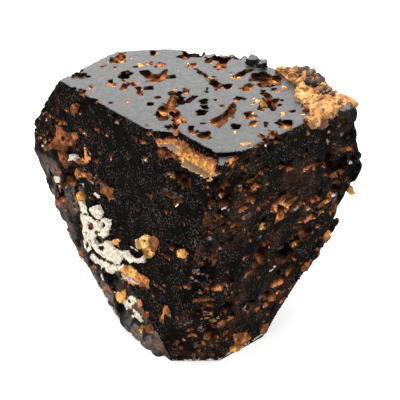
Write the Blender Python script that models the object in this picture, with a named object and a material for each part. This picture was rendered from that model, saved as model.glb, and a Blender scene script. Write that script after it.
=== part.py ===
"""A uvite tourmaline crystal: one dark, blocky crystal grown as a single piece.

A wide flat terrace closes the top. Two steep black faces meet in a ridge at the front, the
crystal narrows downwards to a small flat spot, the front corner of the terrace is broken off in
steps, and angular growth pits cut every face. A lumpy ochre crust, grown on as part of the same
body, covers the back right edge of the terrace.

Axes: +X to the right along the terrace's long side, +Y to the back, +Z up. The origin is the
middle of the outline, at the height of the flat spot.
"""

import math
import random

import bmesh
import bpy
from mathutils import Matrix, Vector

MM = 0.001
NAME = "uvite_crystal"

# Crystal faces
# Each face is the heading of its outward normal in degrees (0 is +X, 90 is the back), the
# normal's tilt above the horizon, and its distance in millimetres from the growth centre.
FACES = {
    "terrace": (-90.0, 85.0, 30.97),
    "front_left": (-140.2, -3.8, 10.12),
    "front_right": (-45.5, -10.7, 9.65),
    "front_ridge": (-90.0, -17.6, 10.89),
    "left": (-145.8, -2.6, 11.84),
    "low_left": (-145.0, -8.9, 9.36),
    "back_left_top": (148.5, 42.2, 31.83),
    "back_left": (135.6, 17.9, 26.37),
    "back_top_left": (98.0, 17.6, 20.31),
    "back_top_right": (77.0, 25.3, 22.15),
    "back_right": (38.3, 26.2, 22.79),
    "right_waist": (19.1, -23.2, 8.29),
    "right_foot": (-7.0, -32.0, 7.16),
    "left_waist": (133.2, -28.6, 9.44),
    "left_foot": (155.0, -52.0, 4.94),
    "back_low": (90.0, -30.7, 3.87),
    "flat_spot": (0.0, -90.0, 0.0),
}
GROWTH_CENTRE = Vector((1.05, 2.17, 0.0))
FRONT_CORNER = Vector((1.22, -20.36, 29.31))

# Growth pits
# A pit is (across, up, length, width, depth, heading): its middle on the face in millimetres
# from the front corner, its mouth, and the heading of its length in degrees on the face.
LEFT_GRAIN = -46.0
RIGHT_GRAIN = 35.0
PITS = {
    "terrace": (
        (-7.5, 22.7, 3.6, 1.5, 1.3, -50.0),
        (-5.7, 23.2, 3.4, 1.4, 1.2, 62.0),
        (1.3, 12.6, 5.6, 1.2, 1.3, 54.0),
        (0.6, 9.7, 2.4, 1.6, 1.1, 8.0),
        (-0.9, 23.3, 3.8, 0.9, 0.9, -65.0),
        (-2.2, 29.2, 2.4, 1.3, 1.0, 0.0),
        (-2.1, 25.9, 1.5, 1.1, 0.8, -14.0),
        (1.5, 26.7, 2.0, 1.9, 1.0, LEFT_GRAIN),
        (3.9, 23.6, 3.2, 1.2, 1.2, 50.0),
        (5.8, 21.9, 2.2, 1.6, 1.1, RIGHT_GRAIN),
        (4.4, 19.5, 2.2, 1.8, 1.2, 20.0),
        (6.3, 19.4, 1.9, 1.1, 0.9, LEFT_GRAIN),
        (2.1, 19.4, 1.5, 1.0, 0.8, RIGHT_GRAIN),
        (-4.4, 16.2, 3.6, 1.1, 1.2, -86.0),
        (-4.2, 17.6, 1.8, 0.9, 1.0, 0.0),
        (-2.3, 16.2, 2.2, 0.7, 0.7, 61.0),
        (-4.3, 12.8, 3.2, 1.2, 1.2, LEFT_GRAIN),
        (-3.7, 11.0, 1.3, 1.3, 1.0, RIGHT_GRAIN),
        (-0.9, 7.0, 1.8, 1.1, 1.0, RIGHT_GRAIN),
        (4.2, 11.6, 1.6, 1.2, 0.9, RIGHT_GRAIN),
        (6.6, 7.5, 1.3, 0.9, 0.8, 39.0),
        (8.3, 9.5, 1.8, 1.2, 1.0, 57.0),
        (-11.0, 28.3, 2.4, 1.5, 0.8, LEFT_GRAIN),
        (-15.7, 22.8, 1.8, 0.9, 0.8, LEFT_GRAIN),
        (-8.2, 18.2, 2.1, 0.7, 0.7, -86.0),
    ),
    "front_left": (
        (-4.9, -2.9, 2.6, 2.2, 1.5, 10.0),
        (-7.3, -6.0, 3.6, 0.9, 0.9, 3.0),
        (-23.1, -5.9, 2.6, 0.9, 0.8, -50.0),
        (-24.1, -7.6, 2.8, 0.9, 0.8, 22.0),
        (-19.5, -10.0, 1.7, 1.1, 0.8, 18.0),
        (-11.0, -23.5, 2.2, 1.0, 0.8, 50.0),
        (-10.9, -20.4, 1.9, 0.7, 0.7, 22.0),
        (-2.6, -16.8, 3.2, 1.4, 1.2, 22.0),
    ),
    "left": (
        (-27.9, -5.2, 4.2, 3.0, 0.7, -20.0),
        (-32.3, -3.8, 2.0, 1.3, 0.7, -30.0),
        (-33.9, -7.6, 1.8, 1.3, 0.7, 40.0),
    ),
    "front_ridge": (
        (0.1, -6.2, 1.9, 1.2, 1.0, 85.0),
        (0.2, -9.8, 1.9, 1.3, 1.0, 70.0),
        (0.3, -13.4, 2.2, 0.9, 0.9, 85.0),
        (-1.2, -23.6, 1.9, 1.0, 0.9, 25.0),
        (-0.6, -27.1, 2.0, 1.1, 0.8, 40.0),
    ),
    "front_right": (
        (5.4, -3.5, 2.6, 1.4, 1.2, -58.0),
        (7.4, -6.7, 1.8, 1.3, 1.0, 75.0),
        (3.4, -8.6, 2.4, 1.5, 1.3, 85.0),
        (5.9, -9.4, 2.0, 1.5, 1.1, 20.0),
        (13.1, -9.2, 3.4, 2.4, 1.6, -12.0),
        (17.2, -10.1, 2.4, 1.4, 1.2, 12.0),
        (22.1, -7.4, 2.6, 2.0, 1.5, -20.0),
        (23.2, -12.9, 1.9, 1.6, 1.2, 70.0),
        (17.5, -13.2, 1.9, 1.4, 1.2, 65.0),
        (17.7, -16.0, 2.2, 1.6, 1.3, -18.0),
        (15.1, -18.4, 4.2, 3.0, 1.9, 70.0),
        (11.1, -16.7, 2.4, 2.0, 1.2, 80.0),
        (15.4, -22.2, 1.9, 1.2, 1.0, -18.0),
        (14.6, -24.6, 1.7, 1.3, 1.0, 60.0),
        (5.6, -21.6, 2.2, 1.4, 1.2, -40.0),
        (10.0, -27.6, 2.2, 1.4, 1.1, 20.0),
        (6.5, -17.6, 1.6, 0.8, 0.8, 70.0),
        (13.0, -4.6, 1.8, 0.8, 0.8, -75.0),
    ),
}

# The broken front corner
# Straight-walled cuts that leave flat steps under the terrace's front edge, as (across, up)
# along the terrace, then length, width, depth and heading.
CORNER_STEPS = (
    (-3.3, 4.5, 6.2, 4.0, 1.4, -51.0),
    (-0.9, 0.6, 2.7, 5.1, 1.65, 0.0),
    (2.6, 0.4, 4.6, 5.3, 0.5, 0.0),
    (-5.1, 6.1, 3.2, 3.7, 1.0, 4.0),
)

# A ledge and overhang low on the front left face, in that face's own directions
LOW_LEDGE = (-16.2, -20.9, 6.4, 2.2, 1.1, 6.0)

# Small pits scattered over the faces that turn away from the front
BACK_FACES = (
    "back_left",
    "back_left_top",
    "back_top_left",
    "back_top_right",
    "left_waist",
    "right_waist",
    "back_low",
)
BACK_PITS_PER_FACE = 5
SCATTER_SEED = 20

# Ochre crust
# The crust follows the terrace's back right edge, from CRUST_START to CRUST_END along the
# terrace, and turns the right corner on to the front right edge.
CRUST_START = Vector((4.9, 28.2))
CRUST_END = Vector((15.6, 14.9))
CRUST_TURN = Vector((11.9, 10.1))
CREST_LUMPS = 11
SLOPE_LUMPS = 12
TURN_LUMPS = 5
CREST_RADIUS = 1.75
CREST_HEIGHT = 1.25
LUMP_SINK = 0.07

# Grown-on lumps elsewhere: (face, across, up, radius, height)
LUMPS = (
    ("front_left", -12.7, -13.9, 1.15, 0.75),
    ("front_left", -12.0, -15.3, 0.8, 0.6),
    ("front_left", -6.0, -12.7, 0.75, 0.45),
    ("low_left", -19.2, -27.3, 1.1, 0.9),
    ("low_left", -17.1, -27.2, 1.2, 1.0),
    ("low_left", -14.8, -27.1, 1.2, 1.0),
    ("low_left", -12.6, -27.5, 1.0, 0.8),
    ("low_left", -15.5, -24.2, 1.1, 0.6),
    ("low_left", -20.3, -24.4, 1.2, 0.5),
    ("low_left", -26.0, -13.1, 1.2, 0.5),
    ("front_right", 25.0, -11.6, 1.0, 0.5),
    ("right_waist", 14.0, 0.4, 1.1, 0.6),
    ("right_waist", 13.6, -1.7, 1.0, 0.6),
    ("right_waist", 14.1, -6.9, 0.9, 0.6),
    ("right_waist", 14.2, -8.9, 0.9, 0.6),
    ("right_waist", 15.7, -14.6, 0.9, 0.6),
    ("back_right", 5.4, -10.9, 1.9, 0.8),
    ("back_right", 9.4, -10.4, 2.2, 0.9),
    ("back_right", 13.9, -10.0, 2.0, 0.8),
    ("back_right", 8.0, -14.2, 1.8, 0.8),
    ("back_right", 12.6, -14.4, 2.0, 0.9),
    ("back_right", 10.9, -18.2, 1.6, 0.7),
)
# Edges shorter than this, left where cuts cross, are closed up (in metres)
SHORTEST_EDGE = 0.000004

CRYSTAL_COLOUR = (0.012, 0.011, 0.010, 1.0)
CRYSTAL_ROUGHNESS = 0.35


def normal_of(heading, tilt):
    """The outward normal for a heading and a tilt in degrees."""
    turn = math.radians(heading)
    rise = math.radians(tilt)
    return Vector((math.cos(turn) * math.cos(rise), math.sin(turn) * math.cos(rise), math.sin(rise)))


def directions(face):
    """A face's origin, its across and up directions, and its outward normal, in millimetres."""
    heading, tilt, distance = FACES[face]
    out = normal_of(heading, tilt)
    across = Vector((0.0, 0.0, 1.0)).cross(out).normalized()
    up = out.cross(across)
    origin = FRONT_CORNER + out * (distance - out.dot(FRONT_CORNER))
    return origin, across, up, out


def place_on(face, across, up, heading=0.0):
    """The matrix that lays a shape drawn in XY, with Z outwards, on a face at (across, up)."""
    origin, right, rise, out = directions(face)
    axes = Matrix((right, rise, out)).transposed().to_4x4()
    spot = Matrix.Translation(origin + right * across + rise * up)
    return spot @ axes @ Matrix.Rotation(math.radians(heading), 4, "Z")


def hull_into(bm, points):
    """Adds the convex solid round some points to a bmesh."""
    verts = [bm.verts.new(point) for point in points]
    made = bmesh.ops.convex_hull(bm, input=verts)
    spare = [item for item in made["geom_interior"] if isinstance(item, bmesh.types.BMVert)]
    bmesh.ops.delete(bm, geom=spare, context="VERTS")


def object_from(bm, name):
    """A scene object from a bmesh in millimetres, moved to the origin and turned to metres."""
    bmesh.ops.recalc_face_normals(bm, faces=bm.faces)
    bmesh.ops.transform(bm, matrix=Matrix.Scale(MM, 4) @ Matrix.Translation(GROWTH_CENTRE), verts=bm.verts)
    mesh = bpy.data.meshes.new(name)
    bm.to_mesh(mesh)
    bm.free()
    obj = bpy.data.objects.new(name, mesh)
    bpy.context.collection.objects.link(obj)
    return obj


def crystal_block():
    """The plain crystal: a large cube cut back to each flat face in turn."""
    bm = bmesh.new()
    bmesh.ops.create_cube(bm, size=120.0)
    for heading, tilt, distance in FACES.values():
        out = normal_of(heading, tilt)
        geom = bm.verts[:] + bm.edges[:] + bm.faces[:]
        cut = bmesh.ops.bisect_plane(
            bm, geom=geom, plane_co=out * distance, plane_no=out, clear_outer=True, dist=1e-5
        )
        rim = [item for item in cut["geom_cut"] if isinstance(item, bmesh.types.BMEdge)]
        bmesh.ops.edgenet_fill(bm, edges=rim)
    return object_from(bm, NAME)


def angular_pit(bm, rng, face, across, up, length, width, depth, heading):
    """One growth pit: a six-sided mouth that narrows down to a flat, slightly tilted floor."""
    place = place_on(face, across, up, heading)
    mouth = ((-0.5, -0.42), (0.32, -0.5), (0.5, -0.2), (0.5, 0.46), (-0.28, 0.5), (-0.5, 0.24))
    points = []
    for level, size in ((0.9, 1.12), (-depth, 0.62)):
        for x, y in mouth:
            wobble = 1.0 + rng.uniform(-0.12, 0.12)
            sink = rng.uniform(-0.08, 0.08) * depth if level < 0.0 else 0.0
            points.append(place @ Vector((x * length * size * wobble, y * width * size * wobble, level + sink)))
    hull_into(bm, points)


def corner_step(bm, face, across, up, length, width, depth, heading):
    """One step of the broken corner: a straight-walled cut with a flat floor."""
    place = place_on(face, across, up, heading)
    points = []
    for level in (1.5, -depth):
        for x, y in ((-0.5, -0.5), (0.5, -0.5), (0.5, 0.5), (-0.5, 0.5)):
            points.append(place @ Vector((x * length, y * width, level)))
    hull_into(bm, points)


def lump(bm, rng, face, across, up, radius, height):
    """One grown-on lump: a coarse ball flattened on to its face, with an uneven skin."""
    place = place_on(face, across, up, rng.uniform(0.0, 360.0))
    ball = bmesh.ops.create_icosphere(bm, subdivisions=2, radius=1.0)["verts"]
    for vert in ball:
        swell = 1.0 + rng.uniform(-0.16, 0.16)
        x, y, z = vert.co * swell
        deep = height if z > 0.0 else max(height, 0.5 * radius)
        vert.co = place @ Vector((x * radius, y * radius * 0.85, z * deep - LUMP_SINK))


def all_pits():
    """Every growth pit and the low ledge, as (face, sizes)."""
    rng = random.Random(SCATTER_SEED)
    found = [(face, pit) for face, pits in PITS.items() for pit in pits]
    found.append(("front_left", LOW_LEDGE))
    for face in BACK_FACES:
        middle = middle_of(face)
        for _ in range(BACK_PITS_PER_FACE):
            across = middle[0] + rng.uniform(-4.0, 4.0)
            up = middle[1] + rng.uniform(-3.5, 3.5)
            size = rng.uniform(1.2, 2.6)
            found.append((face, (across, up, size, size * 0.6, size * 0.4, rng.uniform(0.0, 180.0))))
    return found


def middle_of(face):
    """The middle of a face of the plain crystal, as (across, up) on it."""
    origin, right, rise, out = directions(face)
    block = bpy.data.objects[NAME].data
    centre = Vector()
    corners = 0
    for polygon in block.polygons:
        if polygon.normal.dot(out) > 0.9999:
            for index in polygon.vertices:
                centre += block.vertices[index].co / MM - GROWTH_CENTRE
                corners += 1
    offset = centre / corners - origin
    return offset.dot(right), offset.dot(rise)


def all_lumps():
    """The ochre crust along the back right edge, and the lumps elsewhere, as (face, sizes)."""
    rng = random.Random(SCATTER_SEED + 1)
    found = []
    inward = Vector((-0.8, -0.6))
    for step in range(CREST_LUMPS):
        along = step / (CREST_LUMPS - 1)
        spot = CRUST_START.lerp(CRUST_END, along)
        tall = CREST_HEIGHT * (1.15 if 0.25 < along < 0.75 else 0.6)
        radius = CREST_RADIUS * rng.uniform(0.85, 1.15)
        found.append(("terrace", spot.x, spot.y, radius, tall * rng.uniform(0.85, 1.1)))
    for step in range(SLOPE_LUMPS):
        along = 0.38 + 0.6 * step / (SLOPE_LUMPS - 1)
        spot = CRUST_START.lerp(CRUST_END, along) + inward * rng.uniform(1.2, 3.0)
        found.append(("terrace", spot.x, spot.y, rng.uniform(1.0, 1.5), rng.uniform(0.45, 0.8)))
    for step in range(TURN_LUMPS):
        along = (step + 0.5) / TURN_LUMPS
        spot = CRUST_END.lerp(CRUST_TURN, along)
        found.append(("terrace", spot.x, spot.y, rng.uniform(1.1, 1.4), rng.uniform(0.5, 0.8)))
    return found + list(LUMPS)


def join_or_cut(body, bm, name, operation):
    """Makes a helper from a bmesh and adds its Boolean to the crystal, kept live."""
    helper = object_from(bm, name)
    helper.hide_render = True
    helper.display_type = "WIRE"
    modifier = body.modifiers.new(name, "BOOLEAN")
    modifier.operation = operation
    modifier.solver = "MANIFOLD"
    modifier.object = helper


def tourmaline_material():
    """Near black, glassy tourmaline."""
    material = bpy.data.materials.new("black_tourmaline")
    material.use_nodes = True
    shader = material.node_tree.nodes["Principled BSDF"]
    shader.inputs["Base Color"].default_value = CRYSTAL_COLOUR
    shader.inputs["Roughness"].default_value = CRYSTAL_ROUGHNESS
    shader.inputs["Metallic"].default_value = 0.0
    return material


def islands(bm):
    """The groups of joined faces in a bmesh, taking an edge of four faces as no join."""
    left = set(bm.faces)
    while left:
        group = set()
        edge = [left.pop()]
        while edge:
            face = edge.pop()
            group.add(face)
            sides = [side for side in face.edges if len(side.link_faces) == 2]
            for neighbour in {other for side in sides for other in side.link_faces} & left:
                left.discard(neighbour)
                edge.append(neighbour)
        yield group


def settle(body):
    """Fixes the Booleans' result as the crystal's own mesh, without crumbs that came loose."""
    graph = bpy.context.evaluated_depsgraph_get()
    whole = bpy.data.meshes.new_from_object(body.evaluated_get(graph))
    bm = bmesh.new()
    bm.from_mesh(whole)
    bmesh.ops.dissolve_degenerate(bm, edges=bm.edges, dist=SHORTEST_EDGE)
    bmesh.ops.triangulate(bm, faces=bm.faces)
    groups = sorted(islands(bm), key=len)
    for group in groups[:-1]:
        bmesh.ops.delete(bm, geom=list(group), context="FACES")
    bm.to_mesh(whole)
    bm.free()
    whole.name = NAME
    for modifier in list(body.modifiers):
        helper = modifier.object
        body.modifiers.remove(modifier)
        bpy.data.objects.remove(helper, do_unlink=True)
    body.data = whole


def main():
    for obj in list(bpy.data.objects):
        bpy.data.objects.remove(obj, do_unlink=True)
    crystal = crystal_block()
    crystal.data.materials.append(tourmaline_material())
    rng = random.Random(SCATTER_SEED + 2)
    for index, sizes in enumerate(all_lumps()):
        bm = bmesh.new()
        lump(bm, rng, *sizes)
        join_or_cut(crystal, bm, f"lump_{index}", "UNION")
    for index, sizes in enumerate(CORNER_STEPS):
        bm = bmesh.new()
        corner_step(bm, "terrace", *sizes)
        join_or_cut(crystal, bm, f"step_{index}", "DIFFERENCE")
    for index, (face, sizes) in enumerate(all_pits()):
        bm = bmesh.new()
        angular_pit(bm, rng, face, *sizes)
        join_or_cut(crystal, bm, f"pit_{index}", "DIFFERENCE")
    settle(crystal)


main()
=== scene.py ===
# %% [markdown]
# # A uvite tourmaline crystal
# This lesson dresses one dark crystal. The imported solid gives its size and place, and the cells
# below grow a finer skin in the same frame: flat faces, etched pits, a broken corner and an
# ochre crust. The first cell loads the solid and keeps its box, so later steps can be measured.

# %% Load the solid
import math

import bmesh
import bpy
import numpy as np
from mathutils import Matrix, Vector


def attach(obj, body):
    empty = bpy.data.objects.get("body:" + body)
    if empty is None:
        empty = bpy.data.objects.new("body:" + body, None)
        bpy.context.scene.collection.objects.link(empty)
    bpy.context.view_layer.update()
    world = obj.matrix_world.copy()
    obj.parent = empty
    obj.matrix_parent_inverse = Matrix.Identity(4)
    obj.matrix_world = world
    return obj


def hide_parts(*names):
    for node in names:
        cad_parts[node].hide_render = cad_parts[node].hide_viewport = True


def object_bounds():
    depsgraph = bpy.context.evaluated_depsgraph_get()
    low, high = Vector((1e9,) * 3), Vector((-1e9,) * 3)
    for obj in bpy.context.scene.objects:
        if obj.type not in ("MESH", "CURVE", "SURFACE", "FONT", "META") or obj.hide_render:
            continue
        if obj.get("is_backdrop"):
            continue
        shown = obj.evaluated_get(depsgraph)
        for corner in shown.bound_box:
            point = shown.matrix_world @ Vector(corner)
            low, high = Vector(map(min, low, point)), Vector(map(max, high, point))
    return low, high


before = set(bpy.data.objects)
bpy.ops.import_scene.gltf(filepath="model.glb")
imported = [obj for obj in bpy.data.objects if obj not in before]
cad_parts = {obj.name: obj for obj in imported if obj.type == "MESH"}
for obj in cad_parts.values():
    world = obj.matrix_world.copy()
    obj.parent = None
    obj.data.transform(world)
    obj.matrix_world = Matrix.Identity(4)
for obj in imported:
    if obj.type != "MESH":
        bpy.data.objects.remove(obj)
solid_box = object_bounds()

MM = 0.001
SEED = 41
print("solid, mm:", [round((high - low) / MM, 1) for low, high in zip(*solid_box)])

# %% [markdown]
# ## The viewpoint
# The photograph looks down at the crystal from 25 degrees with a long lens, so near and far
# edges are almost the same size. Fixing the camera first lets a feature be named by where it is
# seen, then dropped straight on to the face that carries it.

# %% Camera
VIEW_TILT = math.radians(25.0)
LENS_MM = 100.0
VIEW_DISTANCE = 137.0
CENTRE = np.array([1.05, 2.17, 0.0])
AIM = CENTRE + np.array([0.0, 0.0, 16.0])
FRAME_PIXELS = 400
FORWARD = np.array([0.0, math.cos(VIEW_TILT), -math.sin(VIEW_TILT)])
UPWARD = np.array([0.0, math.sin(VIEW_TILT), math.cos(VIEW_TILT)])
SIDEWAYS = np.array([1.0, 0.0, 0.0])
EYE = AIM - FORWARD * VIEW_DISTANCE
PIXELS_PER_SLOPE = LENS_MM / 36.0 * FRAME_PIXELS

camera_data = bpy.data.cameras.new("camera")
camera_data.lens = LENS_MM
camera_data.clip_start = 0.01
camera = bpy.data.objects.new("camera", camera_data)
bpy.context.collection.objects.link(camera)
camera.location = Vector(EYE * MM)
camera.rotation_euler = (math.pi / 2 - VIEW_TILT, 0.0, 0.0)
bpy.context.scene.camera = camera
print("camera at, mm:", np.round(EYE, 1))

# %% [markdown]
# ## The flat faces
# A crystal is a stack of flat faces. Each is written as the compass heading of its outward
# normal, how far that normal leans up, and how far the face lies from the growth centre. The
# last number is how rough the face is, in millimetres.

# %% Faces
FACES = {
    "terrace": (-90.0, 85.0, 30.97, 0.025),
    "front_left": (-140.2, -3.8, 10.12, 0.05),
    "front_right": (-45.5, -10.7, 9.65, 0.07),
    "front_ridge": (-90.0, -17.6, 10.89, 0.10),
    "left": (-145.8, -2.6, 11.84, 0.22),
    "low_left": (-145.0, -8.9, 9.36, 0.12),
    "back_left_top": (148.5, 42.2, 31.83, 0.22),
    "back_left": (135.6, 17.9, 26.37, 0.25),
    "back_top_left": (98.0, 17.6, 20.31, 0.3),
    "back_top_right": (77.0, 25.3, 22.15, 0.3),
    "back_right": (38.3, 26.2, 22.79, 0.3),
    "right_waist": (19.1, -23.2, 8.29, 0.28),
    "right_foot": (-7.0, -32.0, 7.16, 0.2),
    "left_waist": (133.2, -28.6, 9.44, 0.25),
    "left_foot": (155.0, -52.0, 4.94, 0.2),
    "back_low": (90.0, -30.7, 3.87, 0.3),
    "flat_spot": (0.0, -90.0, 0.0, 0.0),
}
FRONT_CORNER = np.array([1.22, -20.36, 29.31])


def face_axes(face):
    """A face's origin, across, up and outward directions, and its distance."""
    heading, tilt, distance, _ = FACES[face]
    turn, rise = math.radians(heading), math.radians(tilt)
    out = np.array([math.cos(turn) * math.cos(rise), math.sin(turn) * math.cos(rise), math.sin(rise)])
    across = np.array([-math.sin(turn), math.cos(turn), 0.0])
    up = np.cross(out, across)
    return FRONT_CORNER + out * (distance - out @ FRONT_CORNER), across, up, out


AXES = {face: face_axes(face) for face in FACES}


def seen_on(face, x, y):
    """Where the sight line through a pixel meets a face, in millimetres from the growth centre."""
    origin, across, up, out = AXES[face]
    sight = FORWARD * PIXELS_PER_SLOPE + SIDEWAYS * (x - 200) - UPWARD * (y - 200)
    eye = EYE - CENTRE
    return eye + sight * ((origin - eye) @ out) / (sight @ out)


def on_face(face, x, y):
    """The same point as (across, up) on the face."""
    origin, across, up, out = AXES[face]
    point = seen_on(face, x, y) - origin
    return np.array([point @ across, point @ up])


print("faces:", len(FACES))

# %% [markdown]
# ## Growth pits
# The faces are etched with angular pits whose walls run along the crystal's own directions.
# Each is listed by the middle and size of its mouth as seen, in pixels, and by the colour of
# what lines it. Long troughs are listed by their two ends and a width.

# %% Pits on the terrace
TERRACE_TROUGHS = (
    (196, 68, 210, 80, 5, "dark"), (234, 78, 251, 69, 6, "gold"), (187, 102, 195, 96, 4, "dark"),
    (235, 101, 240, 97, 5, "brown"),
)
TERRACE_PITS = (
    (79, 75, 12, 5, "dark"), (91, 87, 4, 4, "brown"), (82, 92, 5, 4, "amber"), (110, 82, 6, 5, "brown"),
    (112, 60, 4, 4, "amber"), (121, 57, 9, 10, "amber"), (115, 68, 3, 3, "amber"), (124, 75, 7, 5, "dark"),
    (125, 86, 5, 8, "brown"), (94, 101, 7, 4, "amber"), (171, 76, 7, 3, "dark"), (148, 63, 5, 3, "amber"),
    (140, 63, 6, 6, "amber"), (154, 53, 4, 4, "amber"), (160, 64, 6, 5, "brown"), (193, 54, 19, 6, "brown"),
    (193, 65, 10, 5, "brown"), (148, 88, 8, 3, "dark"), (134, 84, 4, 5, "brown"), (140, 91, 4, 9, "amber"),
    (151, 104, 5, 2, "dark"), (174, 94, 12, 4, "dark"), (186, 91, 5, 4, "amber"), (171, 100, 7, 14, "amber"),
    (180, 100, 5, 8, "dark"), (163, 116, 8, 8, "amber"),
    (178, 118, 8, 7, "brown"), (183, 120, 5, 4, "gold"), (147, 126, 5, 2, "dark"), (171, 128, 8, 4, "brown"),
    (176, 128, 5, 8, "amber"), (191, 130, 4, 7, "brown"), (203, 135, 11, 6, "gold"), (204, 102, 5, 4, "amber"),
    (205, 107, 4, 3, "dark"), (203, 113, 7, 5, "brown"), (207, 90, 2, 5, "dark"), (209, 60, 6, 6, "amber"),
    (222, 63, 14, 10, "brown"), (226, 55, 5, 3, "amber"), (239, 56, 5, 4, "amber"), (259, 78, 17, 8, "brown"),
    (275, 79, 11, 6, "amber"), (264, 85, 12, 5, "brown"), (215, 84, 6, 6, "amber"), (219, 88, 4, 4, "brown"),
    (228, 87, 9, 5, "brown"), (248, 87, 14, 8, "brown"), (245, 99, 5, 3, "dark"), (249, 116, 10, 7, "brown"),
    (254, 123, 6, 5, "amber"), (236, 127, 5, 4, "brown"), (268, 104, 5, 5, "dark"), (273, 108, 5, 5, "dark"),
    (267, 96, 8, 5, "brown"), (276, 102, 4, 6, "brown"), (262, 110, 6, 4, "brown"), (275, 90, 5, 4, "amber"),
    (279, 83, 4, 4, "amber"), (287, 124, 9, 8, "amber"), (260, 135, 5, 3, "brown"), (273, 134, 8, 6, "amber"),
    (266, 125, 3, 5, "dark"),
)
TERRACE_HOLLOWS = (
    ("brown", 0.55, ((140, 71), (148, 70), (152, 74), (158, 74), (164, 69), (168, 69), (168, 74), (164, 79), (160, 82),
        (154, 83), (149, 81), (144, 77), (141, 74))),
    ("brown", 0.5, ((209, 121), (217, 117), (225, 112), (228, 108), (230, 104), (233, 102), (237, 105), (237, 110),
        (234, 114), (233, 118), (230, 116), (227, 117), (227, 121), (223, 124), (220, 128), (213, 125))),
    ("amber", 0.4, ((157, 110), (160, 106), (166, 105), (170, 108), (169, 112), (163, 113))),
    ("brown", 0.5, ((168, 110), (174, 109), (180, 112), (182, 117), (185, 121), (182, 123), (178, 121), (174, 123),
        (172, 119), (175, 116), (170, 113))),
)
print("terrace pits:", len(TERRACE_PITS) + len(TERRACE_TROUGHS) + len(TERRACE_HOLLOWS))

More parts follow.
